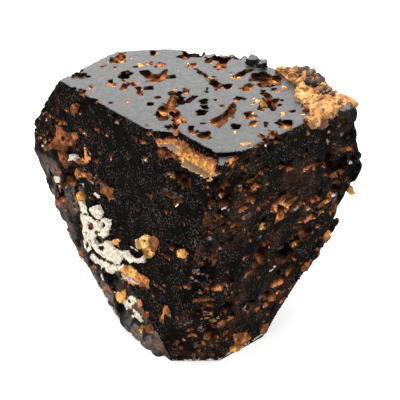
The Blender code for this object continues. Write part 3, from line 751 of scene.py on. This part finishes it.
surface = np.argwhere((np.abs(crust_body.field) < 0.6 * STEP) & (field > 0.0))
for spot in surface[rng.choice(len(surface), 300, replace=False)]:
    radius = rng.uniform(0.22, 0.62) ** 1.2
    block_grain(LOW + spot * STEP - 0.3 * radius, radius)
CRUST_ROCKS = ((296, 70, 0.5, 1.1), (303, 73, 0.6, 1.15), (310, 76, 0.65, 1.15), (316, 79, 0.6, 1.1),
    (319, 81, 0.4, 1.0), (309, 82, 0.5, 1.0), (314, 85, 0.45, 0.9), (326, 92, 0.55, 0.6), (331, 95, 0.4, 0.5),
    (322, 112, 0.5, 0.1), (340, 105, 0.5, 0.2))
for x, y, radius, lift in CRUST_ROCKS:
    for _ in range(3):
        nudge = rng.normal(size=3) * 0.25 * radius
        spot = seen_on("terrace", x, y + PIXELS_UP * lift) + AXES["terrace"][3] * lift
        block_grain(spot + nudge, radius * rng.uniform(0.7, 0.95), "rock", 6, 0.03)
for x, y, radius, kind in ((315, 117, 0.45, "gold"), (314, 121, 0.4, "gold"), (345, 116, 0.55, "amber"), (325, 128, 0.4, "ochre")):
    block_grain(seen_on("terrace", x, y) + AXES["terrace"][3] * 0.15, radius, kind, 12)
print("crust grains:", len(crust_body.shapes))

# %% [markdown]
# ## The skin
# Each grid cell that the surface crosses gets one point, at the mean of its crossings, and each
# crossed grid edge gets one four-sided face. It is the shortest way from a field to a mesh, and
# it rounds sharp edges by only half a cell, as wear does.

# %% From field to mesh
CORNERS = [np.array([i, j, k]) for i in (0, 1) for j in (0, 1) for k in (0, 1)]
EDGES = [(a, b) for a in CORNERS for b in CORNERS if (b - a).sum() == 1 and (b - a).min() == 0]


def skin_of(field):
    """Points in millimetres and four-sided faces of the surface where the field is zero."""
    inside = field < 0
    views = [inside[tuple(slice(c, c - 1 or None) for c in corner)] for corner in CORNERS]
    total = sum(view.astype(np.uint8) for view in views)
    active = (total > 0) & (total < 8)
    cells = np.argwhere(active)
    number = np.full(active.shape, -1, np.int32)
    number[active] = np.arange(len(cells))
    points = np.zeros(cells.shape)
    hits = np.zeros(len(cells))
    for a, b in EDGES:
        start = field[tuple((cells + a).T)]
        end = field[tuple((cells + b).T)]
        crossed = (start < 0) != (end < 0)
        share = np.where(crossed, start / np.where(crossed, start - end, 1), 0)[:, None]
        points += np.where(crossed[:, None], a + share * (b - a), 0)
        hits += crossed
    quads = []
    for axis in range(3):
        ahead = tuple(slice(1, None) if k == axis else slice(1, -1) for k in range(3))
        behind = tuple(slice(0, -1) if k == axis else slice(1, -1) for k in range(3))
        flips = inside[behind] != inside[ahead]
        spots = np.argwhere(flips) + [0 if k == axis else 1 for k in range(3)]
        u, v = [np.eye(3, dtype=int)[k] for k in ((axis + 1) % 3, (axis + 2) % 3)]
        corners = [number[tuple((spots - d).T)] for d in (0 * u, u, u + v, v)]
        quad = np.stack(corners, 1)
        outwards = inside[tuple(spots.T)]
        quad[outwards] = quad[outwards][:, ::-1]
        quads.append(quad)
    return LOW + (cells + points / hits[:, None]) * STEP, np.concatenate(quads)[:, ::-1]


def without_pinches(field):
    """Fills the grid points at which the surface would touch itself along an edge."""
    field = field.copy()
    for _ in range(8):
        inside, found = field < 0, 0
        for pair in ((0, 1), (0, 2), (1, 2)):
            def view(*shift):
                steps = dict(zip(pair, shift))
                return tuple(slice(steps[k], steps[k] - 1 or None) if k in steps else slice(None) for k in range(3))
            a, b, c, d = [inside[view(i, j)] for i, j in ((0, 0), (1, 0), (0, 1), (1, 1))]
            for pinch, spot in ((a & d & ~b & ~c, (1, 0)), (b & c & ~a & ~d, (0, 0))):
                field[view(*spot)][pinch] = -0.3 * STEP
                found += int(pinch.sum())
        if not found:
            break
    return field


def largest_part(points, faces):
    """Drops loose crumbs: keeps the faces joined to the biggest piece."""
    group = np.arange(len(points))
    while True:
        lowest = group[faces].min(1)
        new = group.copy()
        for corner in faces.T:
            np.minimum.at(new, corner, lowest)
        new = new[new]
        if (new == group).all():
            break
        group = new
    names, counts = np.unique(group[faces[:, 0]], return_counts=True)
    faces = faces[group[faces[:, 0]] == names[counts.argmax()]]
    used, renumbered = np.unique(faces, return_inverse=True)
    return points[used], renumbered.reshape(faces.shape)


# %% Mesh object
def mesh_object(name, points, faces):
    """A mesh object from millimetre points round the growth centre."""
    mesh = bpy.data.meshes.new(name)
    mesh.vertices.add(len(points))
    mesh.vertices.foreach_set("co", ((points + CENTRE) * MM).astype(np.float32).ravel())
    mesh.loops.add(faces.size)
    mesh.loops.foreach_set("vertex_index", faces.ravel().astype(np.int32))
    mesh.polygons.add(len(faces))
    mesh.polygons.foreach_set("loop_start", np.arange(0, faces.size, faces.shape[1], dtype=np.int32))
    mesh.update(calc_edges=True)
    mesh.validate()
    obj = bpy.data.objects.new(name, mesh)
    bpy.context.collection.objects.link(obj)
    return obj


def plain_mesh(obj):
    """Turns an object's modifiers into its mesh and removes them."""
    graph = bpy.context.evaluated_depsgraph_get()
    mesh = bpy.data.meshes.new_from_object(obj.evaluated_get(graph))
    obj.modifiers.clear()
    obj.data = mesh
    mesh.name = obj.name


def put_right(mesh):
    """Drops folded pairs of faces that thinning left, and turns every face outwards."""
    work = bmesh.new()
    work.from_mesh(mesh)
    twins = {}
    for face in work.faces:
        twins.setdefault(frozenset(corner.index for corner in face.verts), []).append(face)
    folded = [face for pair in twins.values() if len(pair) > 1 for face in pair]
    bmesh.ops.delete(work, geom=folded, context="FACES")
    bmesh.ops.recalc_face_normals(work, faces=work.faces)
    work.to_mesh(mesh)
    work.free()


def skinned(name, field, most):
    """The skin of a field as an object with at most so many triangles."""
    points, faces = largest_part(*skin_of(without_pinches(field)))
    obj = mesh_object(name, points, faces)
    thin = obj.modifiers.new("thin", "DECIMATE")
    thin.ratio = min(1.0, most / (2 * len(faces)))
    thin.use_collapse_triangulate = True
    plain_mesh(obj)
    put_right(obj.data)
    print(name, "triangles:", 2 * len(faces), "thinned to", len(obj.data.polygons))
    return obj


crystal = skinned("crystal", body.field, 197000)
crust = skinned("ochre_crust", crust_body.field, 120000)

# %% [markdown]
# ## Colour that follows the shape
# Each triangle asks the grid which shape set the spot it covers, and takes its lining from that.
# The stain is painted lit and shaded: brighter on walls turned to the light above and behind, and
# bare black on walls turned away and high on the far wall as the rim's shadow, so every pit has a
# painted shadow on its upper wall and a rusty lower one. The material then only reads the result.

# %% Palette
def tone(red, green, blue):
    """A colour as seen, 0 to 255, turned into the linear values Blender works in."""
    seen = np.array([red, green, blue]) / 255
    return np.where(seen <= 0.04045, seen / 12.92, ((seen + 0.055) / 1.055) ** 2.4)


# The pale rim colour and the two light greys are painted light: highlights on rims and reflections on flat faces. The
# others are stain and stone colours.
PALETTE = {
    "dark": tone(70, 45, 32), "brown": tone(142, 86, 54), "amber": tone(176, 112, 66), "gold": tone(210, 152, 82),
    "cream": tone(226, 216, 196), "step": tone(196, 130, 62), "ochre": tone(212, 156, 88), "straw": tone(232, 186, 118),
    "lip": tone(206, 196, 186), "grey": tone(140, 137, 133), "rust": tone(98, 62, 42), "bare": tone(14, 11, 10),
    "block": tone(58, 54, 52), "rock": tone(88, 68, 54), "olive": tone(184, 150, 78), "floor_sheen": tone(112, 114, 118),
}
# The side the light comes from, above and behind. Pit stain and crust colour are painted lighter on surfaces turned to
# it and darker on those turned away.
LIGHT_SIDE = np.array([0.0, 0.3, 0.95])
# Unlined faces: rust is a stain; the grey on the low left and back left top faces is a painted reflection of the pale
# surroundings.
STAIN_AND_SHEEN = {"low_left": ("grey", 0.95), "left": ("rust", 0.6), "back_right": ("rust", 0.6),
    "front_ridge": ("block", 0.3), "front_right": ("block", 0.2),
    "back_top_left": ("rust", 0.35), "back_left_top": ("grey", 0.4), "right_waist": ("rust", 0.4), "back_low": ("rust", 0.35)}


def face_table(mesh):
    """Middle, normal and grid cell of each triangle, in millimetres from the growth centre."""
    middles = np.empty(len(mesh.polygons) * 3, np.float32)
    mesh.polygons.foreach_get("center", middles)
    normals = np.empty(len(mesh.polygons) * 3, np.float32)
    mesh.polygons.foreach_get("normal", normals)
    middles, normals = middles.reshape(-1, 3) / MM - CENTRE, normals.reshape(-1, 3)
    cells = np.rint((middles - normals * STEP / 2 - LOW) / STEP).astype(int)
    return middles, normals, tuple(np.clip(cells, 0, COUNTS - 1).T)


def store(mesh, name, values):
    """Keeps one value or colour per triangle on its corners, for the material to read."""
    sides = np.empty(len(mesh.polygons), np.int32)
    mesh.polygons.foreach_get("loop_total", sides)
    wide = np.repeat(values, sides, axis=0)
    if values.ndim == 2:
        wide = np.column_stack([wide, np.ones(len(wide))])
    layer = mesh.attributes.new(name, "FLOAT_COLOR" if values.ndim == 2 else "FLOAT", "CORNER")
    layer.data.foreach_set("color" if values.ndim == 2 else "value", wide.astype(np.float32).ravel())


# %% Lining of the crystal
middles, normals, cells = face_table(crystal.data)
label = body.owner[cells]
lined = label >= 0
FACE_NAMES = list(FACES)
face_number = np.array([FACE_NAMES.index(shape[0]) for shape in body.shapes] + [0])[label]
kind_of, tint, luck, pit_middle, pit_half = [np.array([shape[k] for shape in body.shapes] + [last])[label]
    for k, last in ((1, "none"), (2, 1.0), (3, 1.0), (4, 0.0), (5, 1e6))]
origins, ups, outs = [np.array([AXES[face][k] for face in FACE_NAMES]) for k in (0, 2, 3)]
planes = middles @ outs.T - np.array([FACES[face][2] for face in FACE_NAMES])
on_terrace = face_number == 0
raised = label >= FIRST_PATCH
flat_top = normals @ outs[0]
facing_light = normals @ LIGHT_SIDE
height_in_pit = (((middles - origins[face_number]) * ups[face_number]).sum(1) - pit_middle) / pit_half
# Painted shade: the stain fades to bare black up each pit's upper wall, as the rim's shadow, and dims on walls turned
# from the light; walls turned well away are painted nearly black.
pit_unshaded = np.where(on_terrace, 0.12 + 0.88 * smooth(0.85, -0.3, height_in_pit), smooth(0.5, -0.7, height_in_pit))
lit_share = pit_unshaded * np.where(on_terrace, 0.42 + 0.58 * smooth(0.0, 0.6, facing_light), 0.55 + 0.45 * smooth(-0.3, 0.5, facing_light))
lit_share = np.where(facing_light < -0.45, np.where(on_terrace, 0.12, 0.06), lit_share)
lit_share = np.where(raised, 0.8, lit_share)[:, None]
tint = np.where(raised, 1.0, np.where(on_terrace, tint, tint ** 1.7))
colour = np.array([PALETTE.get(kind, PALETTE["bare"]) for kind in kind_of]) * tint[:, None]
colour = PALETTE["bare"] * (1 - lit_share) + colour * lit_share * (0.8 + 0.6 * lit_share)
mottle = smooth(-0.6, 0.6, 0.6 * middling[cells] + 0.8 * fine[cells])[:, None]
calm = np.isin(kind_of, ("cream", "lip", "block", "none"))[:, None]
rich = np.where(raised[:, None], 0.4 + 1.2 * mottle, 0.35 + 2.1 * mottle ** 2)
colour *= np.where(calm, (0.9 + 0.15 * mottle) / tint[:, None], rich)
rim_depth = np.abs(planes[np.arange(len(label)), face_number])
front = np.isin(face_number, [FACE_NAMES.index(face) for face in SIDE_PITS])
# Painted highlight: some lower pit rims that face the light get the pale rim colour.
lit_lips = lined & ~raised & (luck > np.where(front, 0.5, 0.85)) & (height_in_pit < -0.6) & (facing_light > 0.3) & (rim_depth < 0.22)
colour[lit_lips] = PALETTE["lip"] * tint[lit_lips, None] ** 2
print("lined triangles:", int(lined.sum()), "of", len(label), "lips:", int(lit_lips.sum()))

# %% Bare floors, the broken corner's painted shadow, and weathering with painted sheen
amount = lined.astype(float)
amount[on_terrace & ~raised & (flat_top > 0.93) & ((luck > 0.9) | (kind_of == "step"))] = 0.15
amount[kind_of == "block"] = 0.35
# Painted reflection: a few pit floors lying flat to their face get a light grey for the sheen they catch.
floor_sheen = ~on_terrace & ~raised & lined & (luck < 0.12) & ((normals * outs[face_number]).sum(1) > 0.85)
colour[floor_sheen] = PALETTE["floor_sheen"] * tint[floor_sheen, None]
corner = kind_of == "step"
# Painted shadow: the broken corner's riser stays bare black near the rim, where the rim shades it; deeper down it takes
# a brown and then a gold stain.
depth = -planes[:, 0] + 0.25 * middling[cells] + 0.15 * fine[cells]
golden = smooth(1.0, 1.4, depth)[:, None]
riser_unshaded = smooth(0.7, 1.0, depth)[:, None]
riser_stain_and_shadow = (PALETTE["brown"] * (1 - golden) + PALETTE["gold"] * golden) * riser_unshaded + PALETTE["bare"] * (1 - riser_unshaded)
colour[corner] = riser_stain_and_shadow[corner] * (0.9 + 0.4 * fine[cells][corner, None])
amount[corner & (flat_top < 0.9)] = 1.0
host = planes.argmax(1)
# Rust stain and painted grey reflection on the unlined parts of each listed face.
for face, (kind, strength) in STAIN_AND_SHEEN.items():
    there = ~lined & (host == FACE_NAMES.index(face))
    spread = np.clip(0.5 + 0.9 * broad[cells][there] + 0.5 * middling[cells][there], 0, 1)
    shade = 0.7 + 0.8 * fine[cells][there, None] + 0.4 * middling[cells][there, None]
    stain = 0.8 * smooth(0.1, 0.5, (middling + 0.6 * fine)[cells][there])[:, None]
    colour[there] = np.maximum(PALETTE[kind] * (1 - stain) + PALETTE["rust"] * stain, 0) * np.maximum(shade, 0.15)
    amount[there] = strength * spread
store(crystal.data, "lining", np.clip(colour, 0, 1))
store(crystal.data, "lining_amount", amount)
print("weathered triangles:", int((~lined & (amount > 0.2)).sum()))

# %% Colours of the crust
middles_c, normals_c, cells_c = face_table(crust.data)
label_c = crust_body.owner[cells_c]
kinds_c = np.array([shape[1] for shape in crust_body.shapes] + ["ochre"])[label_c]
tint_c = np.array([shape[2] for shape in crust_body.shapes] + [1.0])[label_c]
colour_c = np.array([PALETTE[kind] for kind in kinds_c]) * (0.35 + 0.65 * tint_c[:, None])
patchy = 0.6 * smooth(-0.5, 0.6, middling[cells_c])[:, None] * (kinds_c != "rock")[:, None]
colour_c = colour_c * (1 - patchy) + PALETTE["amber"] * patchy
rocky = kinds_c == "rock"
colour_c[rocky] *= np.clip(0.9 + 1.6 * fine[cells_c][rocky, None] + 0.8 * tiny[cells_c][rocky, None], 0.25, 3)
# Painted light: crust surfaces turned to the light above and behind are made lighter, and those turned away darker.
colour_c *= (0.62 + 0.4 * smooth(-0.2, 0.6, normals_c @ LIGHT_SIDE) + 0.15 * fine[cells_c])[:, None]
store(crust.data, "lining", np.clip(colour_c, 0, 1))
store(crust.data, "lining_amount", np.ones(len(colour_c)))
print("crust colour, mean:", np.round(colour_c.mean(0), 2))

# %% [markdown]
# ## Materials
# Black tourmaline is so dark that only its surface shows. The front faces are etched to a fine
# sugary texture that scatters what it mirrors, so they stay black with brown and grey specks; the
# specks are partly grains and dust and partly painted glints. The terrace is smoother and mirrors
# the light above, so it gets its own, stronger reflection.

# %% Stone material
# Speck tones: a brown for grains, and a grey that is dust on the terrace and a painted glint on the sugary front faces.
BROWN_SPECK = (0.16, 0.095, 0.06)
DUST_AND_GLINT_GREY = (0.13, 0.122, 0.115)


def stone(name, base, roughness, specular, speckle, bump, lining_range=((0.5, 0.45, 0.42), (1.35, 1.38, 1.4)), stretch=1.0):
    """A mineral material: a base colour, fine specks, and the lining read from the mesh."""
    material = bpy.data.materials.new(name)
    material.use_nodes = True
    nodes, links = material.node_tree.nodes, material.node_tree.links
    shader = nodes["Principled BSDF"]
    shader.inputs["Specular IOR Level"].default_value = specular
    shader.inputs["IOR"].default_value = 1.63
    place = nodes.new("ShaderNodeTexCoord")
    scale = nodes.new("ShaderNodeMapping")
    scale.inputs["Scale"].default_value = (1000, 1000 * stretch, 1000)
    links.new(place.outputs["Object"], scale.inputs["Vector"])

    def noise(size, detail):
        node = nodes.new("ShaderNodeTexNoise")
        node.inputs["Scale"].default_value = 1 / size
        node.inputs["Detail"].default_value = detail
        links.new(scale.outputs["Vector"], node.inputs["Vector"])
        return node.outputs["Fac"]

    def ramp(source, low, high, start, end):
        node = nodes.new("ShaderNodeValToRGB")
        node.color_ramp.elements[0].position = low
        node.color_ramp.elements[1].position = high
        node.color_ramp.elements[0].color = (*start, 1)
        node.color_ramp.elements[1].color = (*end, 1)
        links.new(source, node.inputs["Fac"])
        return node.outputs["Color"]

    def mix(kind, factor, first, second):
        node = nodes.new("ShaderNodeMix")
        node.data_type = "RGBA"
        node.blend_type = kind
        for socket, value in ((0, factor), (6, first), (7, second)):
            if isinstance(value, (float, tuple)):
                node.inputs[socket].default_value = value
            else:
                links.new(value, node.inputs[socket])
        return node.outputs[2]

    def attribute(name):
        node = nodes.new("ShaderNodeAttribute")
        node.attribute_name = name
        return node

    speck_mask = ramp(noise(0.17, 1.0), 0.58, 0.71, (0, 0, 0), (1, 1, 1))
    cloud = ramp(noise(1.8, 3.0), 0.42, 0.62, (0.05, 0.05, 0.05), (1, 1, 1))
    speck_share = mix("MULTIPLY", 1.0, speck_mask, cloud)
    speck_share = mix("MULTIPLY", 1.0, speck_share, (speckle, speckle, speckle, 1))
    speck_tint = ramp(noise(0.6, 1.0), 0.43, 0.57, BROWN_SPECK, DUST_AND_GLINT_GREY)
    plain_stone = mix("MIX", speck_share, (*base, 1), speck_tint)
    amount = attribute("lining_amount").outputs["Fac"]
    grainy = ramp(noise(0.35, 3.0), 0.32, 0.68, lining_range[0], lining_range[1])
    lining = mix("MULTIPLY", 1.0, attribute("lining").outputs["Color"], grainy)
    links.new(mix("MIX", amount, plain_stone, lining), shader.inputs["Base Color"])
    uneven = ramp(noise(0.5, 3.0), 0.3, 0.7, (roughness * 0.8,) * 3, (roughness * 1.25,) * 3)
    links.new(mix("MIX", amount, uneven, (0.65, 0.65, 0.65, 1)), shader.inputs["Roughness"])
    relief = nodes.new("ShaderNodeBump")
    relief.inputs["Strength"].default_value = bump
    relief.inputs["Distance"].default_value = 0.00006
    links.new(noise(0.24, 3.0), relief.inputs["Height"])
    links.new(relief.outputs["Normal"], shader.inputs["Normal"])
    return material


side_stone = stone("black_tourmaline", (0.0022, 0.0021, 0.0021), 0.5, 0.004, 1.0, 0.6)
terrace_stone = stone("terrace_tourmaline", (0.014, 0.0135, 0.013), 0.34, 0.5, 0.35, 1.0, stretch=0.42)
crust_stone = stone("ochre_mineral", (0.3, 0.16, 0.06), 0.6, 0.3, 0.0, 0.6, ((0.75, 0.7, 0.66), (1.15, 1.18, 1.2)))
print("materials:", [m.name for m in (side_stone, terrace_stone, crust_stone)])

# %% Give out the materials
crystal.data.materials.append(side_stone)
crystal.data.materials.append(terrace_stone)
smooth_top = (normals @ AXES["terrace"][3] > 0.86) & (middles[:, 2] > 24) & (amount < 0.5)
smooth_top |= (kind_of == "block") & (normals[:, 2] > 0.8)
crystal.data.polygons.foreach_set("material_index", smooth_top.astype(np.int32))
crust.data.materials.append(crust_stone)
print("terrace-like triangles:", int(smooth_top.sum()))

# %% [markdown]
# ## Sugary grains
# Thousands of tiny crystal grains stick to the etched faces and the crust. They repeat, so
# Geometry Nodes makes them: points are scattered by a density written on the mesh, each gets a
# turned and scaled block, and a random value picks its colour between two tones.

# %% Grain tree
def grain_tree():
    """A node tree that covers a mesh with small grains."""
    tree = bpy.data.node_groups.new("sugary_grains", "GeometryNodeTree")
    tree.interface.new_socket("Geometry", in_out="INPUT", socket_type="NodeSocketGeometry")
    for label, kind in (("Per square metre", "NodeSocketFloat"), ("Smallest", "NodeSocketFloat"),
            ("Largest", "NodeSocketFloat"), ("Seed", "NodeSocketInt"), ("First tone", "NodeSocketColor"),
            ("Second tone", "NodeSocketColor"), ("Material", "NodeSocketMaterial")):
        tree.interface.new_socket(label, in_out="INPUT", socket_type=kind)
    tree.interface.new_socket("Geometry", in_out="OUTPUT", socket_type="NodeSocketGeometry")
    nodes, links = tree.nodes, tree.links
    given, result = nodes.new("NodeGroupInput"), nodes.new("NodeGroupOutput")
    where = nodes.new("GeometryNodeInputNamedAttribute")
    where.data_type = "FLOAT"
    where.inputs["Name"].default_value = "grain_share"
    density = nodes.new("ShaderNodeMath")
    density.operation = "MULTIPLY"
    links.new(given.outputs["Per square metre"], density.inputs[0])
    links.new(where.outputs["Attribute"], density.inputs[1])
    points = nodes.new("GeometryNodeDistributePointsOnFaces")
    links.new(given.outputs["Geometry"], points.inputs["Mesh"])
    links.new(density.outputs[0], points.inputs["Density"])
    links.new(given.outputs["Seed"], points.inputs["Seed"])

    def random(kind, low, high):
        node = nodes.new("FunctionNodeRandomValue")
        node.data_type = kind
        ends = [socket for socket in node.inputs if socket.enabled and socket.name in ("Min", "Max")]
        for socket, value in zip(ends, (low, high)):
            if hasattr(value, "links"):
                links.new(value, socket)
            else:
                socket.default_value = value
        return next(socket for socket in node.outputs if socket.enabled)

    tones = nodes.new("ShaderNodeMix")
    tones.data_type = "RGBA"
    links.new(random("FLOAT", 0.0, 1.0), tones.inputs[0])
    links.new(given.outputs["First tone"], tones.inputs[6])
    links.new(given.outputs["Second tone"], tones.inputs[7])
    tinted = nodes.new("GeometryNodeStoreNamedAttribute")
    tinted.data_type = "FLOAT_COLOR"
    tinted.domain = "POINT"
    tinted.inputs["Name"].default_value = "lining"
    links.new(points.outputs["Points"], tinted.inputs["Geometry"])
    links.new(tones.outputs[2], tinted.inputs["Value"])
    filled = nodes.new("GeometryNodeStoreNamedAttribute")
    filled.data_type = "FLOAT"
    filled.domain = "POINT"
    filled.inputs["Name"].default_value = "lining_amount"
    filled.inputs["Value"].default_value = 1.0
    links.new(tinted.outputs["Geometry"], filled.inputs["Geometry"])
    block = nodes.new("GeometryNodeMeshCube")
    block.inputs["Size"].default_value = (1.0, 0.8, 0.7)
    copies = nodes.new("GeometryNodeInstanceOnPoints")
    links.new(filled.outputs["Geometry"], copies.inputs["Points"])
    links.new(block.outputs["Mesh"], copies.inputs["Instance"])
    links.new(random("FLOAT_VECTOR", (0, 0, 0), (6.3, 6.3, 6.3)), copies.inputs["Rotation"])
    links.new(random("FLOAT", given.outputs["Smallest"], given.outputs["Largest"]), copies.inputs["Scale"])
    real = nodes.new("GeometryNodeRealizeInstances")
    links.new(copies.outputs["Instances"], real.inputs["Geometry"])
    paint = nodes.new("GeometryNodeSetMaterial")
    links.new(real.outputs["Geometry"], paint.inputs["Geometry"])
    links.new(given.outputs["Material"], paint.inputs["Material"])
    links.new(paint.outputs["Geometry"], result.inputs["Geometry"])
    return tree


GRAINS = grain_tree()


def sprinkle(name, ground, values):
    """Grains on a copy of a mesh, turned into a plain mesh object."""
    obj = bpy.data.objects.new(name, ground.data.copy())
    bpy.context.collection.objects.link(obj)
    grow = obj.modifiers.new("grains", "NODES")
    grow.node_group = GRAINS
    for socket in GRAINS.interface.items_tree:
        if socket.in_out == "INPUT" and socket.name in values:
            grow[socket.identifier] = values[socket.name]
    plain_mesh(obj)
    print(name, "triangles:", sum(len(p.vertices) - 2 for p in obj.data.polygons))
    return obj


# %% Scatter the grains
side = smooth(0.9, 0.6, normals @ AXES["terrace"][3]) * (middles[:, 2] > 0.4)
cloudy = smooth(-0.05, 0.45, broad[cells] + 0.5 * middling[cells])
store(crystal.data, "grain_share", side * (0.05 + 0.95 * cloudy) * np.where(kind_of == "cream", 0.1, 1.0))
sugar = sprinkle("sugary_grains", crystal, {"Per square metre": 2.6e6, "Smallest": 0.00005, "Largest": 0.0002,
    "Seed": 3, "First tone": (0.16, 0.085, 0.048, 1), "Second tone": (0.03, 0.026, 0.024, 1), "Material": side_stone})
share_c = smooth(0.0, 0.12, field[cells_c]) * (0.3 + 0.7 * smooth(-0.4, 0.4, fine[cells_c])) * np.where(rocky, 0.25, 1.0)
store(crust.data, "grain_share", share_c)
crumbs = sprinkle("crust_grains", crust, {"Per square metre": 6e6, "Smallest": 0.0001, "Largest": 0.00032,
    "Seed": 5, "First tone": (*PALETTE["straw"], 1), "Second tone": (*PALETTE["amber"], 1), "Material": crust_stone})

# %% [markdown]
# ## Light and floor
# The photograph is a bright, soft studio shot on white. One wide soft light above and behind
# gives the terrace its grey sheen and lights every ledge from above. A weaker one at the front
# left fills the rusty pits, and the paper floor throws a little light back up.

# %% Stage
floor_mesh = bpy.data.meshes.new("floor")
floor_mesh.from_pydata([(-2, -2, 0), (2, -2, 0), (2, 2, 0), (-2, 2, 0)], [], [(0, 1, 2, 3)])
floor = bpy.data.objects.new("floor", floor_mesh)
bpy.context.collection.objects.link(floor)
paper = bpy.data.materials.new("white_paper")
paper.use_nodes = True
paper_shader = paper.node_tree.nodes["Principled BSDF"]
paper_shader.inputs["Base Color"].default_value = (0.5, 0.5, 0.5, 1)
paper_shader.inputs["Roughness"].default_value = 0.8
paper_shader.inputs["Specular IOR Level"].default_value = 0.05
paper_shader.inputs["Emission Color"].default_value = (1, 1, 1, 1)
paper_shader.inputs["Emission Strength"].default_value = 0.7
floor_mesh.materials.append(paper)
floor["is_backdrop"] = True


def soft_light(name, place, target, size, power):
    """A square soft light in millimetres, aimed at a point."""
    data = bpy.data.lights.new(name, "AREA")
    data.shape = "SQUARE"
    data.size = size * MM
    data.energy = power
    obj = bpy.data.objects.new(name, data)
    bpy.context.collection.objects.link(obj)
    obj.location = Vector(place) * MM
    obj.rotation_euler = (Vector(target) - Vector(place)).to_track_quat("-Z", "Y").to_euler()
    return obj


soft_light("light_above_behind", (-20, 420, 330), (0, 0, 20), 420, 1.21)
soft_light("light_above", (-40, 0, 620), (0, 0, 10), 420, 4.5)
soft_light("light_front_left", (-330, -330, 300), (0, 0, 15), 300, 0.3)

world = bpy.data.worlds.new("studio")
bpy.context.scene.world = world
world.use_nodes = True
air = world.node_tree.nodes["Background"]
air.inputs["Color"].default_value = (1, 1, 1, 1)
air.inputs["Strength"].default_value = 0.7
bpy.context.scene.view_settings.view_transform = "Standard"

# %% [markdown]
# ## Hand over
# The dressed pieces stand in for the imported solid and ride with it. The two boxes are written
# side by side, so a difference in size shows at once.

# %% Finish
for obj in (crystal, crust, sugar, crumbs):
    obj.data.polygons.foreach_set("use_smooth", np.zeros(len(obj.data.polygons), bool))
    obj.data.update()
    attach(obj, "root")
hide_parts("uvite_crystal")
dressed_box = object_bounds()
boxes = {"cad": [list(corner) for corner in solid_box], "visual": [list(corner) for corner in dressed_box]}
for name, box in boxes.items():
    print(name, "box, mm:", [[round(value / MM, 2) for value in corner] for corner in box])
